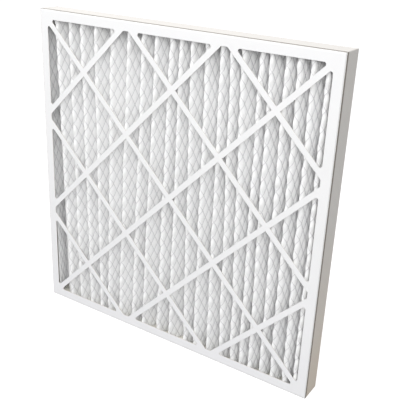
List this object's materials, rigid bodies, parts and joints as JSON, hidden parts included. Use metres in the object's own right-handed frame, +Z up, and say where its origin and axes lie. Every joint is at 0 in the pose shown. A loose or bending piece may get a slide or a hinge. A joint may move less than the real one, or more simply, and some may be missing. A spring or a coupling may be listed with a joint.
{
  "type": "pleated panel air filter",
  "caption": "Square panel air filter: a pleated white media pack backed by a steel grid, bonded inside nested die-cut board trays with a diagonal lattice on each face.",
  "frame": {"origin": "middle of the bottom edge, on which the filter stands, at the middle of its depth", "axes": "+Z up the height, +X across the width, +Y from the front face to the rear face; the pleats run along Z"},
  "size_m": [0.594, 0.045, 0.594],
  "materials": {
    "front_board": "clay-coated white face, matt, with raw grey-brown cut edges",
    "rear_board": "off-white board, matt, with raw grey-brown cut edges",
    "media": "soft white nonwoven of polyester and cotton fibres",
    "grid_steel": "galvanised expanded steel, dull",
    "adhesive": "dried white glue, semi-matt"
  },
  "bodies": {
    "root": {"front_tray": "front_board", "rear_tray": "rear_board", "pleated_media": "media", "support_grid": "grid_steel", "adhesive_top": "adhesive", "adhesive_bottom": "adhesive", "adhesive_left": "adhesive", "adhesive_right": "adhesive"}
  },
  "joints": []
}
